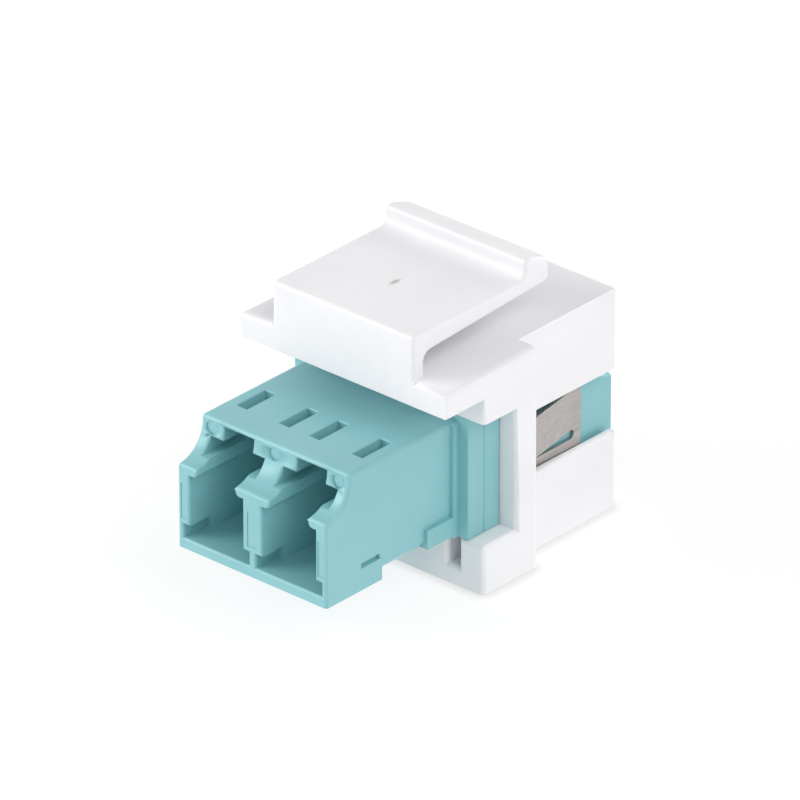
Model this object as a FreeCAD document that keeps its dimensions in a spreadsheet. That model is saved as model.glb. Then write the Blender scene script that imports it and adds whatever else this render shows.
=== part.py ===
"""Keystone fibre coupler: a duplex LC adapter clipped into a keystone housing with a flexing latch.

Lengths are in millimetres. The origin is at the middle of the footprint, on the surface that the
housing stands on. X runs across the two ports, Y along the fibres from the in-wall end to the face
that shows in the room, and Z is up. The plane Y = 0 is the welded seam of the adapter.
"""
import FreeCAD, Part
import os
import re
import Sketcher
from enum import IntEnum

# Driving dimensions. Heights inside the adapter, its clip and its sleeves are taken from the port axis.
SIZES = {
    # Keystone housing
    "housing_height": 16.05,
    "block_wall": 0.55,
    "block_length": 9.56,
    "flange_width": 17.8,
    "flange_thickness": 5.2,
    "column_thickness": 2.02,
    "ledge_length": 3.62,
    "ledge_thickness": 1.86,
    "side_window_height": 4.6,
    "side_window_level": 1.65,
    "notch_spacing": 12.5,
    "notch_width": 0.95,
    "notch_height": 2.17,
    "notch_depth": 2.4,
    "flange_edge_round": 0.6,
    "ledge_corner_round": 0.12,
    "ledge_lower_round": 0.3,
    "ledge_front_round": 0.4,
    "block_edge_round": 0.08,
    "passage_clearance": 0.05,
    "seat_clearance": 0.05,
    # Latch
    "latch_width": 12.1,
    "latch_wall": 1.09,
    "arm_rise": 3.15,
    "arm_root_thickness": 1.56,
    "arm_tip_thickness": 0.95,
    "lip_reach": 10.85,
    "lip_length": 2.32,
    "lip_flat": 0.72,
    "lip_height": 1.32,
    "ramp_angle": 21,
    "ridge_round": 0.2,
    "lip_foot_round": 0.6,
    "tip_round": 0.3,
    "root_round": 0.7,
    "arm_edge_chamfer": 0.12,
    "hinge_radius": 0.8,
    "hinge_clearance": 0.05,
    # Adapter mouldings
    "port_axis_height": 6.3,
    "adapter_length": 27.86,
    "adapter_top": 5.73,
    "adapter_bottom": 2.7,
    "adapter_edge_round": 0.38,
    "keel_chamfer": 0.7,
    "front_edge_round": 0.22,
    "foot_length": 5.33,
    "foot_depth": 3.05,
    "cove_radius": 2.25,
    "cove_floor": 3.03,
    "cove_edge_round": 0.3,
    "adapter_flange_reach": 1.1,
    "adapter_flange_thickness": 3.06,
    "adapter_flange_top": 6.1,
    "adapter_flange_bottom": 2.7,
    "seam_chamfer": 0.1,
    "rim_width": 0.5,
    "rim_proud": 0.25,
    "lug_length": 2.97,
    "lug_top": 1.15,
    "lug_bottom": 2.5,
    "lug_inset": 0.8,
    "panel_start": 3.23,
    "panel_top": 4.8,
    "panel_depth": 0.05,
    "detent_start": 3.38,
    "detent_length": 1.75,
    "detent_height": 0.36,
    "detent_level": 1.47,
    "detent_depth": 0.3,
    # Ports
    "port_pitch": 6.25,
    "port_width": 4.6,
    "port_height": 4.6,
    "port_side_wall": 0.975,
    "rail_reach": 0.64,
    "rail_thickness": 1.05,
    "rail_corner_round": 0.4,
    "channel_height": 1.03,
    "slot_width": 2.5,
    "slot_height": 1.05,
    "slot_depth": 8.4,
    "mouth_undercut": 0.52,
    "mouth_height": 0.97,
    "mouth_depth": 2.2,
    "centre_wall": 2.2,
    "window_start": 4.56,
    "window_length": 2.76,
    "window_width": 0.88,
    "window_edge": 0.03,
    "pin_mark_radius": 0.45,
    "pin_mark_height": 4.95,
    "pin_mark_inset": 0.98,
    "mark_depth": 0.05,
    "blade_mark_width": 0.5,
    "middle_blade_width": 0.8,
    "blade_mark_length": 2.5,
    "blade_mark_bottom": 0.9,
    "blade_mark_inset": 0.26,
    # Ferrule holders and split sleeves
    "holder_diameter": 2.7,
    "holder_length": 4.2,
    "ferrule_mouth": 1.35,
    "sleeve_length": 6.8,
    "sleeve_diameter": 1.6,
    "sleeve_bore": 1.25,
    "sleeve_slit": 0.25,
    "sleeve_clearance": 0.03,
    # Retaining clip
    "clip_thickness": 0.25,
    "clip_clearance": 0.05,
    "clip_bend_round": 0.3,
    "plate_end": 10.5,
    "plate_top": 4.7,
    "tongue_level": 2.05,
    "tongue_height": 2.9,
    "tongue_root": 9.5,
    "tongue_angle": 10.3,
    "tongue_slot": 0.66,
}

# Places worked out from the driving dimensions.
DERIVED = {
    # Along Y, in the housing
    "column_front": "adapter_flange_thickness / 2 + seat_clearance",
    "column_rear": "column_front + column_thickness",
    "block_front": "column_rear + block_length",
    "bar_front": "column_rear - flange_thickness",
    "ledge_front": "bar_front - ledge_length",
    # Heights in the housing
    "ledge_bottom": "housing_height - ledge_thickness",
    "upper_bar_bottom": "port_axis_height + adapter_flange_top + seat_clearance",
    "lower_bar_top": "port_axis_height - adapter_flange_bottom - seat_clearance",
    "passage_roof": "port_axis_height + adapter_top + passage_clearance",
    "passage_floor": "port_axis_height - foot_depth - passage_clearance",
    "passage_width": "2 * rim_half_width + 2 * passage_clearance",
    "block_width": "passage_width + 2 * block_wall",
    "side_window_middle": "port_axis_height + side_window_level",
    # Latch, from the hinge line at the foot of its upright wall
    "hinge_place": "ledge_front + latch_wall / 2",
    "seat_half_width": "latch_width / 2 + hinge_clearance",
    "hinge_height": "housing_height + sqrt(hinge_radius ^ 2 - (latch_wall / 2) ^ 2)",
    "arm_top": "housing_height + arm_rise",
    "lip_face": "ledge_front + lip_reach",
    "lip_end": "lip_face + lip_length",
    "tip_top": "arm_top + lip_height - (lip_length - lip_flat) * tan(ramp_angle)",
    # Adapter and ports
    "adapter_end": "adapter_length / 2",
    "adapter_width": "port_pitch + port_width + 2 * port_side_wall",
    "adapter_flange_width": "adapter_width + 2 * adapter_flange_reach",
    "rail_gap": "port_width - 2 * rail_reach",
    "mouth_width": "port_width + 2 * mouth_undercut",
    "window_spacing": "port_width - window_width - 2 * window_edge",
    "cove_middle": "cove_floor + cove_radius",
    "rim_end": "adapter_flange_thickness / 2 + rim_width",
    "lug_end": "adapter_flange_thickness / 2 + lug_length",
    "foot_end": "adapter_end - foot_length",
    "rim_half_width": "adapter_width / 2 + rim_proud",
    "rail_top": "port_height / 2 + rail_thickness",
    "channel_top": "rail_top + channel_height",
    # Clip
    "clip_inner_width": "adapter_width - 2 * panel_depth + 2 * clip_clearance",
    "clip_width": "clip_inner_width + 2 * clip_thickness",
    "web_top": "adapter_bottom + clip_clearance",
    "plate_start": "rim_end + clip_clearance",
    "plate_bottom": "lug_top - clip_clearance",
    "leg_start": "lug_end + clip_clearance",
    "leg_end": "foot_end - clip_clearance",
    "tongue_end": "column_rear + seat_clearance",
}

ORIGIN = -1
Point = IntEnum("Point", ["START", "END", "CENTRE"])
NEAR = 1e-4

doc = FreeCAD.newDocument("keystone_fibre_coupler")
sheet = doc.addObject("Spreadsheet::Sheet", "sizes")
for row, (alias, size) in enumerate(SIZES.items(), start=1):
    sheet.set(f"A{row}", alias)
    sheet.set(f"B{row}", str(size))
    sheet.setAlias(f"B{row}", alias)
doc.recompute()


def bound(text):
    """Expression on the sheet's cells, with the worked-out places written out in full."""
    def replace(match):
        word = match.group(0)
        if word in DERIVED:
            return f"({bound(DERIVED[word])})"
        return f"sizes.{word}" if word in SIZES else word
    return re.sub(r"[a-z_]+", replace, text)


def number(text):
    """Present value of such an expression."""
    return float(sheet.evalExpression(bound(text).replace("sizes.", "")))


# Sketch helpers

def new_body(label):
    body = doc.addObject("PartDesign::Body", label)
    body.Label = label
    return body


def sketch_on(body, plane, name, offset="0"):
    """Empty sketch on one of the body's own planes, moved along the plane's normal."""
    sketch = body.newObject("Sketcher::SketchObject", name)
    origin_plane = next(item for item in body.Origin.OriginFeatures if item.Role == plane)
    sketch.AttachmentSupport = [(origin_plane, "")]
    sketch.MapMode = "FlatFace"
    sketch.setExpression("AttachmentOffset.Base.z", bound(offset))
    return sketch


def hold(sketch, edge, point, across, up):
    """Holds a point of an edge at its two coordinates in the sketch."""
    for kind, text in (("DistanceX", across), ("DistanceY", up)):
        constraint = Sketcher.Constraint(kind, ORIGIN, Point.START, edge, point, number(text))
        index = sketch.addConstraint(constraint)
        sketch.setExpression(f"Constraints[{index}]", bound(text))


def outline(sketch, corners, arcs=None):
    """Closed outline through corners given as pairs of expressions.

    arcs gives the radius of the edges that leave a corner as a left-turning arc, and a radius with a
    minus sign means a right-turning one.
    """
    arcs = arcs or {}
    places = [FreeCAD.Vector(number(across), number(up), 0) for across, up in corners]
    edges = []
    for index, (start, end) in enumerate(zip(places, places[1:] + places[:1])):
        if index not in arcs:
            edges.append((sketch.addGeometry(Part.LineSegment(start, end)), Point.START, Point.END))
            continue
        radius = number(arcs[index].lstrip("-"))
        turns_right = arcs[index].startswith("-")
        edges.append(add_arc(sketch, start, end, radius, turns_right))
        constraint = Sketcher.Constraint("Radius", edges[-1][0], radius)
        place = sketch.addConstraint(constraint)
        sketch.setExpression(f"Constraints[{place}]", bound(arcs[index].lstrip("-")))
    for (edge, first, _), (across, up) in zip(edges, corners):
        hold(sketch, edge, first, across, up)
    for (edge, _, last), (following, first, _) in zip(edges, edges[1:] + edges[:1]):
        sketch.addConstraint(Sketcher.Constraint("Coincident", edge, last, following, first))


def add_arc(sketch, start, end, radius, turns_right):
    """Arc of less than half a turn between two points, with the names of its two ends."""
    first, last = (end, start) if turns_right else (start, end)
    chord = last - first
    left = FreeCAD.Vector(-chord.y, chord.x, 0).normalize()
    reach = max(radius ** 2 - (chord.Length / 2) ** 2, 0) ** 0.5
    centre = (first + last) / 2 + left * reach
    middle = centre - left * radius
    edge = sketch.addGeometry(Part.Arc(first, middle, last))
    return (edge, Point.END, Point.START) if turns_right else (edge, Point.START, Point.END)


def rectangle(sketch, low, high, bottom, top):
    outline(sketch, [(low, bottom), (high, bottom), (high, top), (low, top)])


def circle(sketch, across, up, radius):
    middle = FreeCAD.Vector(number(across), number(up), 0)
    edge = sketch.addGeometry(Part.Circle(middle, FreeCAD.Vector(0, 0, 1), number(radius)))
    hold(sketch, edge, Point.CENTRE, across, up)
    index = sketch.addConstraint(Sketcher.Constraint("Radius", edge, number(radius)))
    sketch.setExpression(f"Constraints[{index}]", bound(radius))


# Feature helpers

def extrude(kind, body, sketch, name, length, symmetric=False, backwards=False):
    """Pad or pocket of a given length, one way from its sketch or evenly both ways."""
    before = body.Shape.Volume if body.Tip else 0
    feature = body.newObject(f"PartDesign::{kind}", name)
    feature.Profile = sketch
    feature.SideType = "Symmetric" if symmetric else "One side"
    feature.Reversed = backwards
    feature.setExpression("Length", bound(length))
    doc.recompute()
    change = body.Shape.Volume - before
    if (change > 0) != (kind == "Pad"):
        raise RuntimeError(f"{name} changes the volume by {change}")
    return feature


def pad(body, sketch, name, length, **options):
    return extrude("Pad", body, sketch, name, length, **options)


def pocket(body, sketch, name, length, **options):
    return extrude("Pocket", body, sketch, name, length, **options)


def edges_along(body, axis, *places):
    """Names of the body's straight edges along an axis whose middle is at one of the places."""
    direction = FreeCAD.Vector(axis == "x", axis == "y", axis == "z")
    names = []
    for index, edge in enumerate(body.Tip.Shape.Edges, start=1):
        if edge.Curve.TypeId != "Part::GeomLine" or abs(edge.Curve.Direction.dot(direction)) < 1 - NEAR:
            continue
        middle = edge.CenterOfMass
        for place in places:
            if all(abs(abs(getattr(middle, key)) - abs(value)) < NEAR for key, value in place.items()):
                names.append(f"Edge{index}")
                break
    return names


def dress(kind, body, name, size, edges):
    """Fillet or chamfer of one size on named edges of the body as it stands."""
    if not edges:
        raise RuntimeError(f"{name} finds no edge")
    base = body.Tip
    feature = body.newObject(f"PartDesign::{kind}", name)
    feature.Base = (base, edges)
    feature.setExpression("Radius" if kind == "Fillet" else "Size", bound(size))
    doc.recompute()


# Sub-parts

def make_housing():
    """White moulding: keystone block, wider flange with a slot for the adapter's flange, and ledge."""
    body = new_body("keystone_housing")
    side = sketch_on(body, "YZ_Plane", "flange_side")
    outline(side, [
        ("bar_front", "0"), ("column_rear", "0"), ("column_rear", "housing_height"),
        ("ledge_front", "housing_height"), ("ledge_front", "ledge_bottom"), ("bar_front", "ledge_bottom"),
        ("bar_front", "upper_bar_bottom"), ("column_front", "upper_bar_bottom"),
        ("column_front", "lower_bar_top"), ("bar_front", "lower_bar_top"),
    ])
    pad(body, side, "flange", "flange_width", symmetric=True)
    half_flange = number("flange_width / 2")
    dress("Fillet", body, "flange_upper_edges", "flange_edge_round",
          edges_along(body, "y", {"x": half_flange, "z": number("housing_height")}))
    dress("Fillet", body, "ledge_lower_edges", "ledge_lower_round",
          edges_along(body, "y", {"x": half_flange, "z": number("ledge_bottom")}))
    dress("Fillet", body, "ledge_corners", "ledge_corner_round",
          edges_along(body, "z", {"x": half_flange, "y": number("ledge_front")}))

    face = sketch_on(body, "XZ_Plane", "block_face", "-block_front")
    rectangle(face, "-block_width / 2", "block_width / 2", "0", "housing_height")
    pad(body, face, "block", "block_length")
    half_block = number("block_width / 2")
    dress("Fillet", body, "block_edges", "block_edge_round",
          edges_along(body, "y", {"x": half_block, "z": number("housing_height")})
          + edges_along(body, "z", {"x": half_block, "y": number("block_front")}))

    passage = sketch_on(body, "XZ_Plane", "passage_section", "-block_front")
    rectangle(passage, "-passage_width / 2", "passage_width / 2", "passage_floor", "passage_roof")
    pocket(body, passage, "passage", "block_front - column_front", backwards=True)

    window = sketch_on(body, "YZ_Plane", "side_window")
    rectangle(window, "column_rear", "block_front", "side_window_middle - side_window_height / 2",
              "side_window_middle + side_window_height / 2")
    pocket(body, window, "side_windows", "flange_width", symmetric=True)

    notch = sketch_on(body, "XZ_Plane", "bar_notch", "-bar_front")
    for side_of_middle in ("", "-"):
        middle = f"{side_of_middle}notch_spacing / 2"
        rectangle(notch, f"{middle} - notch_width / 2", f"{middle} + notch_width / 2",
                  "lower_bar_top - notch_height", "lower_bar_top")
    pocket(body, notch, "bar_notches", "notch_depth")

    seat = sketch_on(body, "YZ_Plane", "latch_seat_section")
    circle(seat, "hinge_place", "hinge_height", "hinge_radius + hinge_clearance")
    pocket(body, seat, "latch_seat", "2 * seat_half_width", symmetric=True)

    low, high = "ledge_front - ledge_front_round", "ledge_front + ledge_front_round"
    below, above = "housing_height - ledge_front_round", "housing_height + ledge_front_round"
    for hand, outwards in (("right", ""), ("left", "-")):
        rounding = sketch_on(body, "YZ_Plane", f"ledge_front_{hand}_section",
                             f"{outwards}seat_half_width")
        outline(rounding, [
            ("ledge_front", below), (high, "housing_height"), (high, above), (low, above), (low, below),
        ], arcs={0: "-ledge_front_round"})
        pocket(body, rounding, f"ledge_front_{hand}", "flange_width / 2 - seat_half_width",
               backwards=hand == "right")
    return body


def make_latch():
    """Upright wall, arm and ramped lip of the latch, turning about the foot of its wall."""
    body = new_body("latch_arm")
    side = sketch_on(body, "YZ_Plane", "latch_side")
    outline(side, [
        ("ledge_front", "housing_height"), ("ledge_front + latch_wall", "housing_height"),
        ("ledge_front + latch_wall", "arm_top - arm_root_thickness"),
        ("lip_end", "arm_top - arm_tip_thickness"),
        ("lip_end", "tip_top"), ("lip_face + lip_flat", "arm_top + lip_height"),
        ("lip_face", "arm_top + lip_height"), ("lip_face", "arm_top"), ("ledge_front", "arm_top"),
    ], arcs={0: "hinge_radius"})
    pad(body, side, "latch", "latch_width", symmetric=True)

    def along_x(across, up):
        return edges_along(body, "x", {"y": number(across), "z": number(up)})

    dress("Fillet", body, "root_fillet", "root_round",
          along_x("ledge_front + latch_wall", "arm_top - arm_root_thickness"))
    dress("Fillet", body, "lip_foot_fillet", "lip_foot_round", along_x("lip_face", "arm_top"))
    dress("Fillet", body, "ridge_fillet", "ridge_round", along_x("lip_face", "arm_top + lip_height"))
    dress("Fillet", body, "tip_fillets", "tip_round",
          along_x("lip_end", "tip_top") + along_x("lip_end", "arm_top - arm_tip_thickness")
          + along_x("ledge_front", "arm_top"))
    half = number("latch_width / 2")
    foot = number("housing_height")
    sides = [f"Edge{index}" for index, edge in enumerate(body.Tip.Shape.Edges, start=1)
             if abs(abs(edge.CenterOfMass.x) - half) < NEAR and edge.CenterOfMass.z > foot]
    dress("Chamfer", body, "arm_edges", "arm_edge_chamfer", sides)
    return body


def make_adapter_half(label, turn):
    """One of the two like aqua mouldings of the adapter, modelled with its open end towards -Y."""
    body = new_body(label)
    end = "-adapter_end"
    side = sketch_on(body, "YZ_Plane", "half_side")
    outline(side, [
        ("0", "adapter_top"), (f"{end} + cove_radius", "adapter_top"),
        (f"{end} + cove_radius", "cove_middle"), (end, "cove_floor"), (end, "-foot_depth"),
        ("-foot_end", "-foot_depth"), ("-foot_end", "-adapter_bottom"),
        ("0", "-adapter_bottom"),
    ], arcs={2: "-cove_radius"})
    pad(body, side, "half", "adapter_width", symmetric=True)
    half_width = number("adapter_width / 2")
    dress("Fillet", body, "upper_edges", "adapter_edge_round",
          edges_along(body, "y", {"x": half_width, "z": number("adapter_top")}))
    dress("Fillet", body, "front_edges", "front_edge_round",
          edges_along(body, "z", {"x": half_width, "y": number(end)}))
    dress("Chamfer", body, "keel_edges", "keel_chamfer",
          edges_along(body, "y", {"x": half_width, "z": number("adapter_bottom")}))
    sink_sides(body, "panel", "panel_depth", [
        ("panel_start - adapter_end", "-detent_level"), ("-foot_end", "-detent_level"),
        ("-foot_end", "-adapter_bottom"), ("-rim_end", "-adapter_bottom"),
        ("-rim_end", "panel_top"), ("panel_start - adapter_end", "panel_top"),
    ])

    flange = sketch_on(body, "XZ_Plane", "flange_section")
    rectangle(flange, "-adapter_flange_width / 2", "adapter_flange_width / 2",
              "-adapter_flange_bottom", "adapter_flange_top")
    pad(body, flange, "half_flange", "adapter_flange_thickness / 2")
    dress("Chamfer", body, "seam", "seam_chamfer",
          edges_along(body, "z", {"x": number("adapter_flange_width / 2"), "y": 0})
          + edges_along(body, "x", {"y": 0, "z": number("adapter_flange_top")},
                        {"y": 0, "z": number("adapter_flange_bottom")}))

    rim = sketch_on(body, "XZ_Plane", "rim_section", "adapter_flange_thickness / 2")
    rectangle(rim, "-rim_half_width", "rim_half_width", "-adapter_bottom", "adapter_top")
    pad(body, rim, "rim", "rim_width")
    dress("Fillet", body, "rim_corners", "adapter_edge_round",
          edges_along(body, "y", {"x": number("rim_half_width"), "z": number("adapter_top")}))

    lugs = sketch_on(body, "XZ_Plane", "lug_section", "adapter_flange_thickness / 2")
    rectangle(lugs, "-rim_half_width", "lug_inset - adapter_width / 2", "-lug_bottom", "-lug_top")
    rectangle(lugs, "adapter_width / 2 - lug_inset", "rim_half_width", "-lug_bottom", "-lug_top")
    pad(body, lugs, "lugs", "lug_length")

    dress("Fillet", body, "cove_edges", "cove_edge_round",
          edges_along(body, "x", {"y": number(f"{end} + cove_radius"), "z": number("adapter_top")}))
    make_ports(body)
    make_holders(body)
    make_marks(body)
    body.Placement.Rotation = FreeCAD.Rotation(FreeCAD.Vector(0, 0, 1), turn)
    body.setExpression("Placement.Base.z", bound("port_axis_height"))
    return body


def sink_sides(body, name, depth, corners):
    """Outline sunk to a shallow depth in both side walls of the adapter."""
    right = sketch_on(body, "YZ_Plane", f"{name}_right_section", f"adapter_width / 2 - {depth}")
    outline(right, corners)
    pocket(body, right, f"{name}_right", depth, backwards=True)
    left = sketch_on(body, "YZ_Plane", f"{name}_left_section", f"{depth} - adapter_width / 2")
    outline(left, corners)
    pocket(body, left, f"{name}_left", depth)


def make_ports(body):
    """Two LC ports: square cavity, rails, latch channel, slot through the cove, and stepped mouth."""
    sections = {
        "port": "adapter_end - centre_wall",
        "slot": "slot_depth",
        "mouth": "mouth_depth",
    }
    sketches = {name: sketch_on(body, "XZ_Plane", f"{name}_section", "adapter_end") for name in sections}
    for middle in ("port_pitch / 2", "-port_pitch / 2"):
        port_corners, port_arcs = port_outline(middle)
        outline(sketches["port"], port_corners, port_arcs)
        rectangle(sketches["slot"], f"{middle} - slot_width / 2", f"{middle} + slot_width / 2",
                  "rail_top", "channel_top + slot_height")
        rectangle(sketches["mouth"], f"{middle} - mouth_width / 2", f"{middle} + mouth_width / 2",
                  "-port_height / 2", "mouth_height - port_height / 2")
    for name, depth in sections.items():
        pocket(body, sketches[name], f"{name}s", depth)

    windows = sketch_on(body, "XY_Plane", "window_section", "adapter_top")
    for middle in ("port_pitch / 2", "-port_pitch / 2"):
        for shift in ("+ window_spacing / 2", "- window_spacing / 2"):
            centre = f"{middle} {shift}"
            rectangle(windows, f"{centre} - window_width / 2", f"{centre} + window_width / 2",
                      "window_start - adapter_end", "window_start + window_length - adapter_end")
    pocket(body, windows, "windows", "adapter_top - channel_top")


def port_outline(middle):
    """Section of one port: the plug's square below, then the rails, then the channel for its latch.

    The free corners of the rails are round below, and these arcs come back with the outline's corners.
    """
    half_port, half_gap, half_height = "port_width / 2", "rail_gap / 2", "port_height / 2"
    right = [(half_port, f"-{half_height}"), (half_port, half_height),
             (f"({half_gap} + rail_corner_round)", half_height),
             (half_gap, f"{half_height} + rail_corner_round"),
             (half_gap, "rail_top"), (half_port, "rail_top"), (half_port, "channel_top")]
    corners = ([(f"{middle} + {across}", up) for across, up in right]
               + [(f"{middle} - {across}", up) for across, up in reversed(right)])
    return corners, {2: "-rail_corner_round", 10: "-rail_corner_round"}


def make_holders(body):
    """Tubes on the port axes that hold the split sleeves, with a narrower mouth for the ferrules."""
    tubes = sketch_on(body, "XZ_Plane", "holder_section", "centre_wall")
    seats = sketch_on(body, "XZ_Plane", "sleeve_seat_section")
    mouths = sketch_on(body, "XZ_Plane", "ferrule_mouth_section")
    for middle in ("port_pitch / 2", "-port_pitch / 2"):
        circle(tubes, middle, "0", "holder_diameter / 2")
        circle(seats, middle, "0", "sleeve_diameter / 2 + sleeve_clearance")
        circle(mouths, middle, "0", "ferrule_mouth / 2")
    pad(body, tubes, "holders", "holder_length")
    pocket(body, seats, "sleeve_seats", "sleeve_length / 2 + sleeve_clearance", backwards=True)
    pocket(body, mouths, "ferrule_mouths", "centre_wall + holder_length", backwards=True)


def make_marks(body):
    """Shallow marks of the mould's pins and blades, and the detents for the clip."""
    cove = sketch_on(body, "XZ_Plane", "pin_mark_section", "adapter_end")
    for middle in ("0", "adapter_width / 2 - pin_mark_inset", "pin_mark_inset - adapter_width / 2"):
        circle(cove, middle, "pin_mark_height", "pin_mark_radius")
    pocket(body, cove, "pin_marks", "cove_radius + mark_depth")

    blades = sketch_on(body, "XZ_Plane", "blade_mark_section", "adapter_end")
    low = "adapter_width / 2 - blade_mark_inset - blade_mark_width"
    high = "adapter_width / 2 - blade_mark_inset"
    middle = "middle_blade_width / 2"
    spans = [(f"-{middle}", middle), (low, high), (f"-({high})", f"-({low})")]
    for start, finish in spans:
        rectangle(blades, start, finish, "-blade_mark_bottom", "blade_mark_length - blade_mark_bottom")
    pocket(body, blades, "blade_marks", "mark_depth")

    low, high = "detent_start - adapter_end", "detent_start + detent_length - adapter_end"
    bottom, top = "-detent_level", "detent_height - detent_level"
    sink_sides(body, "detent", "detent_depth", [(low, bottom), (high, bottom), (high, top), (low, top)])


def make_clip():
    """Stamped steel clip: a web under the adapter, a plate up each side, and a tongue bent out of each."""
    body = new_body("retaining_clip")
    side = sketch_on(body, "YZ_Plane", "clip_side")
    outline(side, [
        ("leg_start", "-web_top - clip_thickness"), ("leg_end", "-web_top - clip_thickness"),
        ("leg_end", "-plate_bottom"), ("plate_end", "-plate_bottom"), ("plate_end", "plate_top"),
        ("plate_start", "plate_top"), ("plate_start", "-plate_bottom"), ("leg_start", "-plate_bottom"),
    ])
    pad(body, side, "strip", "clip_width", symmetric=True)
    dress("Fillet", body, "bends", "clip_bend_round",
          edges_along(body, "y", {"x": number("clip_width / 2"), "z": number("web_top + clip_thickness")}))
    inside = sketch_on(body, "YZ_Plane", "clip_inside")
    rectangle(inside, "plate_start", "plate_end", "-web_top", "plate_top")
    pocket(body, inside, "channel", "clip_inner_width", symmetric=True)

    opening = sketch_on(body, "YZ_Plane", "tongue_opening")
    half_opening = "(tongue_height / 2 + tongue_slot)"
    rectangle(opening, "tongue_end", "tongue_root",
              f"tongue_level - {half_opening}", f"tongue_level + {half_opening}")
    pocket(body, opening, "tongue_openings", "clip_width", symmetric=True)
    relief = sketch_on(body, "YZ_Plane", "tongue_relief")
    for shift in ("+", "-"):
        middle = f"tongue_level {shift} (tongue_height / 2 + tongue_slot / 2)"
        circle(relief, "tongue_root", middle, "tongue_slot / 2")
    pocket(body, relief, "tongue_reliefs", "clip_width", symmetric=True)

    tongue = sketch_on(body, "XY_Plane", "tongue_section", "tongue_level - tongue_height / 2")
    swing = "(tongue_root - tongue_end) * tan(tongue_angle)"
    for hand in ("", "-"):
        outline(tongue, [
            (f"{hand}(clip_inner_width / 2)", "tongue_root"), (f"{hand}(clip_width / 2)", "tongue_root"),
            (f"{hand}(clip_width / 2 + {swing})", "tongue_end"),
            (f"{hand}(clip_inner_width / 2 + {swing})", "tongue_end"),
        ])
    pad(body, tongue, "tongues", "tongue_height")
    body.setExpression("Placement.Base.z", bound("port_axis_height"))
    return body


def make_sleeve(label, place):
    """Split ceramic sleeve on one port axis, with its slit at the top."""
    body = new_body(label)
    ring = sketch_on(body, "XZ_Plane", "ring")
    circle(ring, "0", "0", "sleeve_diameter / 2")
    circle(ring, "0", "0", "sleeve_bore / 2")
    pad(body, ring, "tube", "sleeve_length", symmetric=True)
    slit = sketch_on(body, "XZ_Plane", "slit_section")
    rectangle(slit, "-sleeve_slit / 2", "sleeve_slit / 2", "0", "sleeve_diameter")
    pocket(body, slit, "slit", "sleeve_length", symmetric=True)
    body.setExpression("Placement.Base.x", bound(place))
    body.setExpression("Placement.Base.z", bound("port_axis_height"))
    return body


HALF_TURN = 180
parts = [
    make_housing(),
    make_latch(),
    make_adapter_half("adapter_rear_half", 0),
    make_adapter_half("adapter_front_half", HALF_TURN),
    make_clip(),
    make_sleeve("sleeve_left", "-port_pitch / 2"),
    make_sleeve("sleeve_right", "port_pitch / 2"),
]
doc.recompute()

for item in doc.Objects:
    if {"Invalid", "Error"} & set(item.State):
        raise RuntimeError(f"{item.Name} failed: {item.State}")
for part in parts:
    if part.Shape.isNull() or not part.Shape.isValid():
        raise RuntimeError(f"{part.Label} has no valid shape")

os.makedirs("parts", exist_ok=True)
for part in parts:
    part.Shape.exportStep(f"parts/{part.Label}.step")
    box = part.Shape.BoundBox
    print(f"{part.Label}: {len(part.Shape.Solids)} solid, {part.Shape.Volume:.2f} mm3, "
          f"X {box.XMin:.2f} to {box.XMax:.2f}, Y {box.YMin:.2f} to {box.YMax:.2f}, "
          f"Z {box.ZMin:.2f} to {box.ZMax:.2f}")
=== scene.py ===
"""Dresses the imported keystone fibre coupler: materials, softened edges, latch skin, studio and camera.

Lengths are in metres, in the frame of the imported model, or in mm where a heading says so. X runs across
the two ports, Y along the fibres towards the room, and Z is up from the surface under the housing.
"""
import math

import bpy
from mathutils import Matrix, Vector


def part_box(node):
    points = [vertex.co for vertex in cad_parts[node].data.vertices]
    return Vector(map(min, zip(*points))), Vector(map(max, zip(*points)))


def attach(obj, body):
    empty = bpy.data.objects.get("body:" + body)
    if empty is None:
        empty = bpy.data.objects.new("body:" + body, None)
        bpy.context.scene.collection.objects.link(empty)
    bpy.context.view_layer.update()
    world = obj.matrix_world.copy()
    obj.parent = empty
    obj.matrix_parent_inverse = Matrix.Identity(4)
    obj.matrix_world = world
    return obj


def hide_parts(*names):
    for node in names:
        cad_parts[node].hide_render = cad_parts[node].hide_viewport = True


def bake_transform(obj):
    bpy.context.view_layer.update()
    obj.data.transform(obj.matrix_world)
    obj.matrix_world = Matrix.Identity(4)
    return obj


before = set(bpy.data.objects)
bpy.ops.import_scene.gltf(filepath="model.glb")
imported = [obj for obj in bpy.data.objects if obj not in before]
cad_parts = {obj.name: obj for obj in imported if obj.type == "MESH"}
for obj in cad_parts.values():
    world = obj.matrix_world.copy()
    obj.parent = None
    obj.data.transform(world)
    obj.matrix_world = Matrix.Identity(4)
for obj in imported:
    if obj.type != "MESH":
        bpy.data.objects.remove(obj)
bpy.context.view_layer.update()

MM = 0.001

# Camera, found from the photograph, with its angles in degrees
IMAGE_SIDE = 800
FOCAL_PIXELS = 11315.9
SENSOR_WIDTH = 36.0
CAMERA_AZIMUTH = 41.577
CAMERA_ELEVATION = 27.906
CAMERA_DISTANCE = 728.9 * MM
CAMERA_TARGET = Vector((0.311, -0.025, 10.679)) * MM
CAMERA_CLIP = 0.05

# Floor and background: how they light the object, how they look, and the painted shade where the object
# stands
FLOOR_SIDE = 1.2
FLOOR_GREY = 0.9
FLOOR_LIGHT = 0.25
SEEN_FLOOR_GREY = 0.2
SEEN_FLOOR_GLOW = 0.83
WORLD_LIGHT = 0.32
SEEN_WORLD_GLOW = 1.0
# Painted contact shade on the floor, which dims its glow by occlusion near the object
CONTACT_REACH = 1.0 * MM
CONTACT_GLOW = 0.6
CONTACT_OPENNESS = 0.5
CONTACT_SAMPLES = 4

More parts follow.
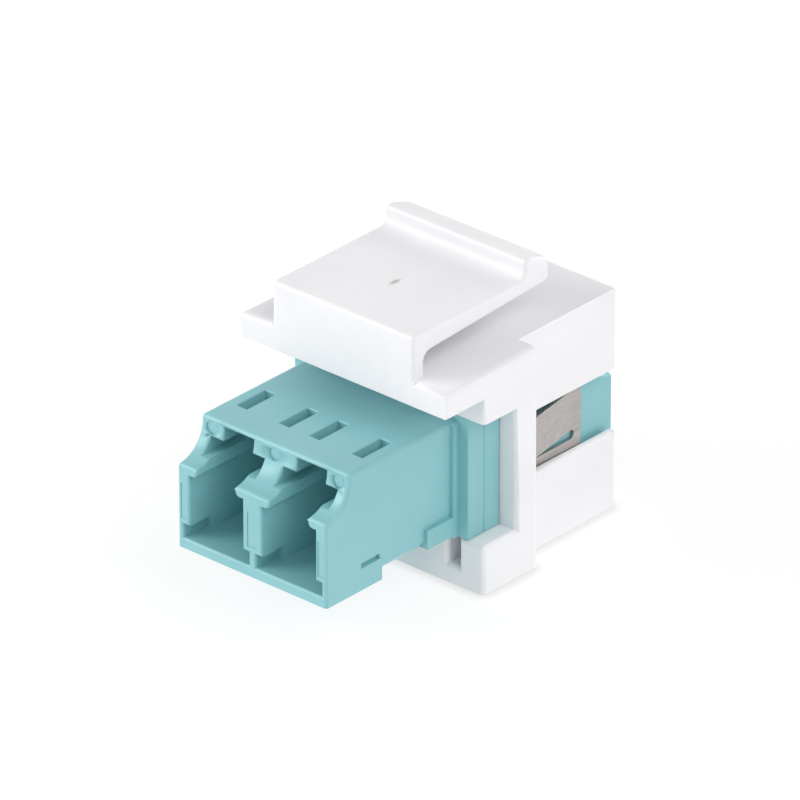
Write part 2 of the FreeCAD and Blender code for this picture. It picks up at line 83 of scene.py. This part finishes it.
# Lamps: azimuth and elevation in degrees, side of the lamp, power in watts
LAMP_DISTANCE = 0.5
LAMPS = {
    "front_left": (-45, 23, 0.3, 1.58),
    "front": (40, 48, 0.35, 0.3),
    "right": (95, 42, 0.35, 0.98),
    "behind": (172, 20, 0.25, 0.85),
}

# Softened edges of the moulded and stamped pieces
EDGE_ROUND = {
    "keystone_housing": 0.5 * MM,
    "adapter_rear_half": 0.17 * MM,
    "adapter_front_half": 0.17 * MM,
    "retaining_clip": 0.03 * MM,
}
EDGE_ANGLE = math.radians(30)
PLANAR_ANGLE = math.radians(0.5)
WELD_REACH = 0.001 * MM
MOULDED_EDGE_STEPS = 4
STAMPED_EDGE_STEPS = 2

# On a moulding only the edges inside some boxes are rounded, by a share of the width, and those of the
# mould's shallow marks stay as they are. A box is a middle and half a size in mm, with X and Y counted
# both ways from the origin, and it is thin where it holds the edges of one plane.
THIN = 0.004
ADAPTER_END = 13.93
FLANGE_SIDE = 8.9
BLOCK_SIDE = 7.25
ADAPTER_EDGES = (
    (1.0, (3.3, ADAPTER_END, 6.55), (3.4, THIN, 3.25)),  # mouths of the ports
    (1.0, (3.3, 12.8, 10.7), (3.4, 1.12, 1.45)),  # coves over the mouths
    (0.5, (3.3, 8.0, 12.03), (3.4, 2.2, THIN)),  # windows in the top
    (0.6, (7.5, 1.53, 8.0), (THIN, THIN, 5.0)),  # upright edges of the adapter's flange
    (0.6, (3.7, 1.53, 12.4), (3.9, THIN, THIN)),  # top edges of the adapter's flange
)
HOUSING_EDGES = (
    (0.7, (4.5, 1.6, 7.0), (4.5, THIN, 7.1)),  # front of the bars
    (0.7, (FLANGE_SIDE, 0.0, 3.55), (THIN, 1.7, THIN)),  # ends of the lower bar, on top
    (0.7, (FLANGE_SIDE, 1.58, 8.0), (THIN, THIN, 5.0)),  # front of the column
    (0.5, (FLANGE_SIDE, 3.6, 8.0), (THIN, THIN, 8.1)),  # rear of the column
    (0.3, (4.5, 5.22, 14.19), (4.6, THIN, THIN)),  # lower front of the ledge
    (0.6, (BLOCK_SIDE, 8.4, 5.65), (THIN, 5.0, THIN)),  # sill of the side window, outside
    (0.3, (6.7, 8.4, 5.65), (THIN, 5.0, THIN)),  # sill of the side window, inside
    (0.2, (FLANGE_SIDE, 1.0, 0.0), (THIN, 3.0, THIN)),  # foot of the flange
    (0.2, (BLOCK_SIDE, 8.4, 0.0), (THIN, 5.0, THIN)),  # foot of the block
)
MOULD_MARKS = (
    ((0.0, ADAPTER_END, 6.65), (0.46, 0.1, 1.35)),  # blade mark between the ports
    ((5.89, ADAPTER_END, 6.65), (0.3, 0.1, 1.35)),  # blade marks beside the ports
    ((0.0, 11.7, 11.25), (0.5, 0.3, 0.5)),  # pin mark between the ports
    ((5.42, 11.7, 11.25), (0.5, 0.3, 0.5)),  # pin marks beside the ports
)

# Side view of the latch in mm. Corners are (along, height, rounding), from its foot's front over the top.
LATCH_FRONT = -5.22
WALL_BACK = -4.13
LIP_FACE = 5.63
RIDGE_END = 6.35
LIP_END = 7.95
LATCH_FOOT = 16.049
ARM_ROOT_BOTTOM = 17.64
ARM_TIP_BOTTOM = 18.25
LATCH_TOP = 19.2
RAMP_BOTTOM = 19.906
LIP_TOP = 20.52
CORNER_ROUND = 0.3
LIP_FOOT_ROUND = 0.6
ARM_ROOT_ROUND = 0.7
LATCH_CORNERS = (
    (LATCH_FRONT, LATCH_FOOT, 0),
    (LATCH_FRONT, LATCH_TOP, CORNER_ROUND),
    (LIP_FACE, LATCH_TOP, LIP_FOOT_ROUND),
    (LIP_FACE, LIP_TOP, CORNER_ROUND),
    (RIDGE_END, LIP_TOP, CORNER_ROUND),
    (LIP_END, RAMP_BOTTOM, CORNER_ROUND),
    (LIP_END, ARM_TIP_BOTTOM, CORNER_ROUND),
    (WALL_BACK, ARM_ROOT_BOTTOM, ARM_ROOT_ROUND),
    (WALL_BACK, LATCH_FOOT, 0),
)
LATCH_EDGE_ROUND = 0.28
EDGE_STEPS = 4
ARC_STEP = math.radians(10)
WALL_STEP = 0.12
UPRIGHT_LIMIT = 1e-4
BEND_HEIGHT = 1.3 * MM

# Root of the latch in mm, which fills the seat in the ledge
SEAT_MIDDLE = (-4.675, 16.6357)
SEAT_RADIUS = 0.86
ROOT_HALF_WIDTH = 6.11
ROOT_TOP = 16.05
ROOT_FRONT = ((LATCH_FRONT, ROOT_TOP), (LATCH_FRONT, 15.93), (-5.19, 15.9))
ROOT_SPAN = (-5.12, -4.05)
ROOT_STEPS = 16

# Gate mark on top of the latch, made of rings at shares of its size and height
GATE_PLACE = Vector((0.02, -0.2, LATCH_TOP)) * MM
GATE_LENGTH = 1.4 * MM
GATE_WIDTH = 0.55 * MM
GATE_HEIGHT = 0.03 * MM
GATE_RINGS = ((1.0, -0.1), (0.9, 0.2), (0.7, 0.6), (0.5, 0.9), (0.3, 1.0), (0.1, 1.0))
GATE_STEPS = 24


# Node helpers

class Tree:
    """Node tree, with short ways to add nodes and to feed their sockets."""

    def __init__(self, tree):
        self.tree = tree

    def add(self, kind, **settings):
        node = self.tree.nodes.new(kind)
        for key, value in settings.items():
            setattr(node, key, value)
        return node

    def feed(self, socket, value):
        """Links another node's output to a socket, or sets the socket to a plain value."""
        if isinstance(value, bpy.types.NodeSocket):
            self.tree.links.new(value, socket)
        else:
            socket.default_value = value

    def number(self, operation, first, second, clamped=False):
        node = self.add("ShaderNodeMath", operation=operation, use_clamp=clamped)
        self.feed(node.inputs[0], first)
        self.feed(node.inputs[1], second)
        return node.outputs["Value"]

    def span(self, value, low, high, start=0.0):
        """Value from a start to 1 spread between two levels."""
        node = self.add("ShaderNodeMapRange")
        for name, level in (("Value", value), ("From Min", start), ("To Min", low), ("To Max", high)):
            self.feed(node.inputs[name], level)
        return node.outputs["Result"]


class Material(Tree):
    """One node material with a principled shader, and short ways to add the textures that it needs."""

    def __init__(self, name):
        self.data = bpy.data.materials.new(name)
        self.data.use_nodes = True
        super().__init__(self.data.node_tree)
        self.shader = self.tree.nodes["Principled BSDF"]
        self.place = self.add("ShaderNodeTexCoord").outputs["Object"]

    def mapped(self, stretch, shift=(0, 0, 0)):
        """Object coordinates scaled along each axis and then moved."""
        mapping = self.add("ShaderNodeMapping")
        mapping.inputs["Scale"].default_value = stretch
        mapping.inputs["Location"].default_value = shift
        self.feed(mapping.inputs["Vector"], self.place)
        return mapping.outputs["Vector"]

    def spot(self, middle, size):
        """1 at a place, falling to 0 at the surface of an ellipsoid of the given size round it."""
        stretch = Vector(2 / length for length in size)
        ball = self.add("ShaderNodeTexGradient", gradient_type="SPHERICAL")
        self.feed(ball.inputs["Vector"], self.mapped(stretch, -middle * stretch))
        return ball.outputs["Fac"]

    def noise(self, size, detail, stretch=(1, 1, 1)):
        """Noise whose features are about the given size, from 0 to 1."""
        node = self.add("ShaderNodeTexNoise")
        node.inputs["Scale"].default_value = 1 / size
        node.inputs["Detail"].default_value = detail
        self.feed(node.inputs["Vector"], self.mapped(stretch))
        return node.outputs["Fac"]

    def colour(self, value, low, high, start=0.3, end=0.7):
        """Gives the shader a colour between two others, by a value."""
        node = self.add("ShaderNodeValToRGB")
        first, last = node.color_ramp.elements
        first.position, last.position = start, end
        first.color, last.color = (*low, 1), (*high, 1)
        self.feed(node.inputs["Fac"], value)
        self.feed(self.shader.inputs["Base Color"], node.outputs["Color"])

    def roughness(self, value, low, high):
        """Gives the shader a roughness between two others, by a value."""
        self.feed(self.shader.inputs["Roughness"], self.span(value, low, high))

    def bump(self, height, depth):
        """Gives the shader a fine relief, by a value that is 1 at its full depth."""
        node = self.add("ShaderNodeBump")
        node.inputs["Distance"].default_value = depth
        self.feed(node.inputs["Height"], height)
        self.feed(self.shader.inputs["Normal"], node.outputs["Normal"])


# Materials

def moulded_plastic(name, low, high, roughness, grain):
    """Moulded plastic: faint flow clouds, uneven gloss and the fine grain of a spark-cut mould."""
    material = Material(name)
    material.colour(material.noise(size=4 * MM, detail=4, stretch=(1, 0.45, 1)), low, high)
    material.roughness(material.noise(size=1.2 * MM, detail=2), *roughness)
    material.bump(material.noise(size=0.09 * MM, detail=2), grain)
    return material.data


def gate_stub(name):
    """Cut gate: greyer in the middle, partly by the stub's own brownish tint and partly by painted shade,
    and white like the rest round it; torn plastic gives it uneven gloss and relief.
    """
    material = Material(name)
    stub_tint_and_shade = material.spot(GATE_PLACE, (GATE_WIDTH, GATE_LENGTH, GATE_LENGTH))
    # The grey-brown middle is partly the stub's own tint and partly painted shade.
    material.colour(stub_tint_and_shade, low=(0.865, 0.86, 0.88), high=(0.52, 0.495, 0.47), start=0.05, end=0.7)
    torn = material.noise(size=0.1 * MM, detail=4)
    material.roughness(torn, low=0.5, high=0.65)
    material.bump(torn, depth=0.006 * MM)
    return material.data


def rolled_steel(name):
    """Stainless strip: fine rolling lines along the fibres and a dull uneven shine."""
    material = Material(name)
    material.shader.inputs["Metallic"].default_value = 1.0
    lines = material.noise(size=0.12 * MM, detail=4, stretch=(1, 0.04, 1))
    material.colour(lines, low=(0.41, 0.385, 0.37), high=(0.53, 0.5, 0.48))
    material.roughness(lines, low=0.26, high=0.44)
    material.bump(lines, depth=0.004 * MM)
    return material.data


def ground_ceramic(name):
    """Zirconia: ivory white, glossy, with fine rings from grinding."""
    material = Material(name)
    rings = material.noise(size=0.08 * MM, detail=3, stretch=(0.05, 1, 0.05))
    material.colour(rings, low=(0.86, 0.84, 0.78), high=(0.92, 0.9, 0.85))
    material.roughness(rings, low=0.14, high=0.26)
    material.bump(rings, depth=0.002 * MM)
    return material.data


WHITE = moulded_plastic("white_plastic", low=(0.845, 0.84, 0.86), high=(0.885, 0.88, 0.9),
                        roughness=(0.42, 0.54), grain=0.003 * MM)
AQUA = moulded_plastic("aqua_plastic", low=(0.23, 0.52, 0.556), high=(0.257, 0.548, 0.586),
                       roughness=(0.3, 0.42), grain=0.002 * MM)
GATE = gate_stub("gate_stub")
STEEL = rolled_steel("clip_steel")
CERAMIC = ground_ceramic("sleeve_ceramic")
NODE_MATERIALS = {
    "keystone_housing": WHITE,
    "latch_arm": WHITE,
    "adapter_rear_half": AQUA,
    "adapter_front_half": AQUA,
    "retaining_clip": STEEL,
    "sleeve_left": CERAMIC,
    "sleeve_right": CERAMIC,
}


# Pieces from the frame

class EdgeMarker(Tree):
    """Node group that weights a mesh's sharp outer edges for rounding, by the boxes that they are in."""

    def __init__(self, name):
        super().__init__(bpy.data.node_groups.new(name, "GeometryNodeTree"))
        self.tree.is_modifier = True
        for direction in ("INPUT", "OUTPUT"):
            self.tree.interface.new_socket("Geometry", in_out=direction,
                                           socket_type="NodeSocketGeometry")
        place = self.add("GeometryNodeInputPosition").outputs["Position"]
        self.place = self.vector("ABSOLUTE", self.vector("SCALE", place, 1 / MM))

    def vector(self, operation, first, second=None):
        node = self.add("ShaderNodeVectorMath", operation=operation)
        self.feed(node.inputs[0], first)
        if second is not None:
            self.feed(node.inputs["Scale" if operation == "SCALE" else 1], second)
        return node.outputs["Vector"]

    def inside(self, middle, half):
        """1 for the edges whose middle is in a box, else 0."""
        away = self.vector("ABSOLUTE", self.vector("SUBTRACT", self.place, middle))
        node = self.add("FunctionNodeCompare", data_type="VECTOR", mode="ELEMENT", operation="LESS_THAN")
        sockets = [socket for socket in node.inputs if socket.enabled and socket.type == "VECTOR"]
        self.feed(sockets[0], away)
        self.feed(sockets[1], half)
        return node.outputs["Result"]

    def finish(self, boxes, kept):
        """Weights the edges in the boxes, apart from those that are kept as they are."""
        angle = self.add("GeometryNodeInputMeshEdgeAngle").outputs["Signed Angle"]
        weight = 0.0
        for share, middle, half in boxes:
            weighted = self.number("MULTIPLY", self.inside(middle, half), share)
            weight = self.number("MAXIMUM", weight, weighted)
        for middle, half in kept:
            weight = self.number("SUBTRACT", weight, self.inside(middle, half))
        weight = self.number("MULTIPLY", weight, self.number("GREATER_THAN", angle, EDGE_ANGLE))
        store = self.add("GeometryNodeStoreNamedAttribute", data_type="FLOAT", domain="EDGE")
        store.inputs["Name"].default_value = "bevel_weight_edge"
        self.feed(store.inputs["Value"], self.number("MAXIMUM", weight, 0.0))
        source, target = self.add("NodeGroupInput"), self.add("NodeGroupOutput")
        self.feed(store.inputs["Geometry"], source.outputs["Geometry"])
        self.feed(target.inputs["Geometry"], store.outputs["Geometry"])
        return self.tree


HOUSING_MARKER = EdgeMarker("housing_edges").finish(HOUSING_EDGES, ())
ADAPTER_MARKER = EdgeMarker("adapter_edges").finish(ADAPTER_EDGES, MOULD_MARKS)
NODE_MARKERS = {
    "keystone_housing": HOUSING_MARKER,
    "adapter_rear_half": ADAPTER_MARKER,
    "adapter_front_half": ADAPTER_MARKER,
}


def soften(node, width, marker):
    """Joins a node's flat facets and rounds its sharp edges: the marked ones, or all without a marker."""
    weld = node.modifiers.new("weld", "WELD")
    weld.merge_threshold = WELD_REACH
    flat = node.modifiers.new("flat", "DECIMATE")
    flat.decimate_type = "DISSOLVE"
    flat.angle_limit = PLANAR_ANGLE
    if marker:
        node.modifiers.new("marked_edges", "NODES").node_group = marker
    rounding = node.modifiers.new("rounding", "BEVEL")
    rounding.width = width
    rounding.segments = MOULDED_EDGE_STEPS if marker else STAMPED_EDGE_STEPS
    rounding.limit_method = "WEIGHT" if marker else "ANGLE"
    rounding.angle_limit = EDGE_ANGLE
    rounding.use_clamp_overlap = False
    rounding.loop_slide = False
    rounding.harden_normals = True


for name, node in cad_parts.items():
    node.data.materials.clear()
    node.data.materials.append(NODE_MATERIALS[name])
    if name in EDGE_ROUND:
        soften(node, EDGE_ROUND[name], NODE_MARKERS.get(name))


# Latch

def rounded(corners):
    """Points and outward normals along a clockwise outline, with its corners rounded."""
    flat = [Vector(corner[:2]) for corner in corners]
    line = []
    for index, corner in enumerate(flat):
        radius = corners[index][2]
        before = (corner - flat[index - 1]).normalized()
        after = (flat[(index + 1) % len(flat)] - corner).normalized()
        if not radius:
            wall = after if index == 0 else before
            line.append((corner, Vector((-wall.y, wall.x))))
            continue
        turn = before.angle_signed(after)
        reach = radius * math.tan(abs(turn) / 2)
        start = corner - before * reach
        side = math.copysign(1, turn)
        middle = start + Vector((before.y, -before.x)) * radius * side
        steps = max(2, math.ceil(abs(turn) / ARC_STEP))
        for step in range(steps + 1):
            angle = turn * step / steps
            normal = Vector((-before.y, before.x))
            normal.rotate(Matrix.Rotation(-angle, 2))
            line.append((middle + normal * radius * side, normal))
    return line


def divided(line, low, high):
    """The same line with more points where it climbs or falls between two heights."""
    dense = []
    for (start, normal), (end, following) in zip(line, line[1:]):
        dense.append((start, normal))
        upright = abs(start.x - end.x) < UPRIGHT_LIMIT
        bends = upright and min(start.y, end.y) < high and max(start.y, end.y) > low
        count = math.ceil((end - start).length / WALL_STEP) if bends else 1
        for step in range(1, count):
            dense.append((start.lerp(end, step / count), normal.lerp(following, step / count)))
    dense.append(line[-1])
    return dense


def add_mesh(name, vertices, faces, material, normals=None):
    """New object in the scene, shaded smooth where it is given normals."""
    mesh = bpy.data.meshes.new(name)
    mesh.from_pydata(vertices, [], faces)
    mesh.materials.append(material)
    if normals:
        mesh.shade_smooth()
        mesh.normals_split_custom_set_from_vertices(normals)
    item = bpy.data.objects.new(name, mesh)
    bpy.context.collection.objects.link(item)
    return item


def ring_faces(rings, count, turned=False):
    """Faces between rings that have the same count of points, facing one way or, if turned, the other."""
    faces = []
    for start in range(0, (rings - 1) * count, count):
        for index in range(count):
            first, second = start + index, start + (index + 1) % count
            if turned:
                faces.append((first, first + count, second + count, second))
            else:
                faces.append((first, second, second + count, first + count))
    return faces


def add_latch_skin():
    """The latch as one moulding with rounded side edges, in place of the frame's latch."""
    low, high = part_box("latch_arm")
    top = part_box("keystone_housing")[1][2]
    line = divided(rounded(LATCH_CORNERS), top / MM, (top + BEND_HEIGHT) / MM)
    angles = [math.pi / 2 * step / EDGE_STEPS for step in range(EDGE_STEPS + 1)]
    rings = [(-1, math.pi / 2 - angle) for angle in angles] + [(1, angle) for angle in angles]
    vertices, normals = [], []
    for hand, angle in rings:
        outward, level = math.sin(angle), math.cos(angle)
        across = hand * (high[0] - LATCH_EDGE_ROUND * MM * (1 - outward))
        inset = LATCH_EDGE_ROUND * (1 - level)
        for place, normal in line:
            point = (place - normal * inset) * MM
            vertices.append((across, point.x, point.y))
            normals.append((hand * outward, normal.x * level, normal.y * level))
    count = len(line)
    ends = [tuple(range(count)), tuple(reversed(range(len(vertices) - count, len(vertices))))]
    faces = ends + ring_faces(len(rings), count, turned=True)
    skin = add_mesh("latch_skin", vertices, faces, WHITE, normals)
    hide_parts("latch_arm")
    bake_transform(skin)


def add_latch_root():
    """Fills the seat under the latch, so that the ledge and the latch are one moulding."""
    line = list(ROOT_FRONT)
    first, last = ROOT_SPAN
    for step in range(ROOT_STEPS + 1):
        along = first + (last - first) * step / ROOT_STEPS
        depth = math.sqrt(SEAT_RADIUS ** 2 - (along - SEAT_MIDDLE[0]) ** 2)
        line.append((along, min(SEAT_MIDDLE[1] - depth, ROOT_TOP)))
    line.append((last, ROOT_TOP))
    sides = (-ROOT_HALF_WIDTH, ROOT_HALF_WIDTH)
    vertices = [Vector((across, along, height)) * MM for across in sides for along, height in line]
    count = len(line)
    ends = [tuple(reversed(range(count))), tuple(range(count, 2 * count))]
    root = add_mesh("latch_root", vertices, ends + ring_faces(len(sides), count), WHITE)
    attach(root, "housing")


def add_gate_mark():
    """Low stub where the gate of the mould was cut off."""
    vertices = []
    for share, rise in GATE_RINGS:
        for step in range(GATE_STEPS):
            angle = 2 * math.pi * step / GATE_STEPS
            across = GATE_WIDTH / 2 * share * math.cos(angle)
            along = GATE_LENGTH / 2 * share * math.sin(angle)
            vertices.append(GATE_PLACE + Vector((across, along, GATE_HEIGHT * rise)))
    top = tuple(range(len(vertices) - GATE_STEPS, len(vertices)))
    mark = add_mesh("gate_mark", vertices, ring_faces(len(GATE_RINGS), GATE_STEPS) + [top], GATE)
    mark.data.shade_smooth()
    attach(mark, "latch")


add_latch_skin()
add_latch_root()
add_gate_mark()


# Studio

def aimed(azimuth, elevation, distance):
    """Matrix of a lamp or camera that looks at the camera's target, with Z up."""
    turned, raised = math.radians(azimuth), math.radians(elevation)
    level = math.cos(raised)
    back = Vector((math.sin(turned) * level, -math.cos(turned) * level, math.sin(raised)))
    right = Vector((0, 0, 1)).cross(back).normalized()
    turn = Matrix((right, back.cross(right), back)).transposed()
    return Matrix.Translation(CAMERA_TARGET + back * distance) @ turn.to_4x4()


def add_camera():
    """The photograph's camera."""
    data = bpy.data.cameras.new("camera")
    data.sensor_width = SENSOR_WIDTH
    data.lens = SENSOR_WIDTH * FOCAL_PIXELS / IMAGE_SIDE
    data.clip_start = CAMERA_CLIP
    camera = bpy.data.objects.new("camera", data)
    camera.matrix_world = aimed(CAMERA_AZIMUTH, CAMERA_ELEVATION, CAMERA_DISTANCE)
    bpy.context.collection.objects.link(camera)
    bpy.context.scene.camera = camera


def add_lamp(name, azimuth, elevation, side, power):
    """Square soft lamp round the camera's target."""
    data = bpy.data.lights.new(name, "AREA")
    data.size = side
    data.energy = power
    lamp = bpy.data.objects.new(name, data)
    lamp.matrix_world = aimed(azimuth, elevation, LAMP_DISTANCE)
    bpy.context.collection.objects.link(lamp)


def sight_rays(tree):
    """1 for the rays that show a background: from the camera, a reflection or a clear material."""
    path = tree.add("ShaderNodeLightPath")
    total = path.outputs["Is Camera Ray"]
    for output in ("Is Glossy Ray", "Is Transmission Ray"):
        total = tree.number("ADD", total, path.outputs[output], clamped=True)
    return total


def add_world():
    """Even light from all round, in front of a white background."""
    world = bpy.data.worlds.new("studio")
    bpy.context.scene.world = world
    world.use_nodes = True
    tree = Tree(world.node_tree)
    background = world.node_tree.nodes["Background"]
    background.inputs["Color"].default_value = (1, 1, 1, 1)
    tree.feed(background.inputs["Strength"], tree.span(sight_rays(tree), WORLD_LIGHT, SEEN_WORLD_GLOW))


def floor_material():
    """Pale matte floor with a glow of its own, which is weaker where the object stands close over it:
    painted contact shade, beside the real shadow in its matte part.
    """
    material = bpy.data.materials.new("floor")
    material.use_nodes = True
    nodes = material.node_tree.nodes
    nodes.remove(nodes["Principled BSDF"])
    tree = Tree(material.node_tree)
    seen = sight_rays(tree)
    matte = tree.add("ShaderNodeBsdfDiffuse")
    tree.feed(matte.inputs["Color"], tree.span(seen, FLOOR_GREY, SEEN_FLOOR_GREY))
    # Painted contact shade: an occlusion node dims the floor's glow where the object stands close over
    # it.
    near = tree.add("ShaderNodeAmbientOcclusion", samples=CONTACT_SAMPLES)
    near.inputs["Distance"].default_value = CONTACT_REACH
    shade = tree.span(near.outputs["AO"], CONTACT_GLOW, SEEN_FLOOR_GLOW, start=CONTACT_OPENNESS)
    glow = tree.add("ShaderNodeEmission")
    tree.feed(glow.inputs["Strength"], tree.span(seen, FLOOR_LIGHT, shade))
    both = tree.add("ShaderNodeAddShader")
    tree.feed(both.inputs[0], matte.outputs[0])
    tree.feed(both.inputs[1], glow.outputs[0])
    tree.feed(nodes["Material Output"].inputs["Surface"], both.outputs[0])
    return material


def add_floor():
    """Floor that looks white in the picture and keeps the object's shadow, with painted contact shade
    close under it.
    """
    half = FLOOR_SIDE / 2
    corners = [(-half, -half, 0), (half, -half, 0), (half, half, 0), (-half, half, 0)]
    floor = add_mesh("floor", corners, [(0, 1, 2, 3)], floor_material())


add_camera()
add_world()
add_floor()
for name, settings in LAMPS.items():
    add_lamp(name, *settings)
bpy.context.scene.view_settings.view_transform = "Standard"
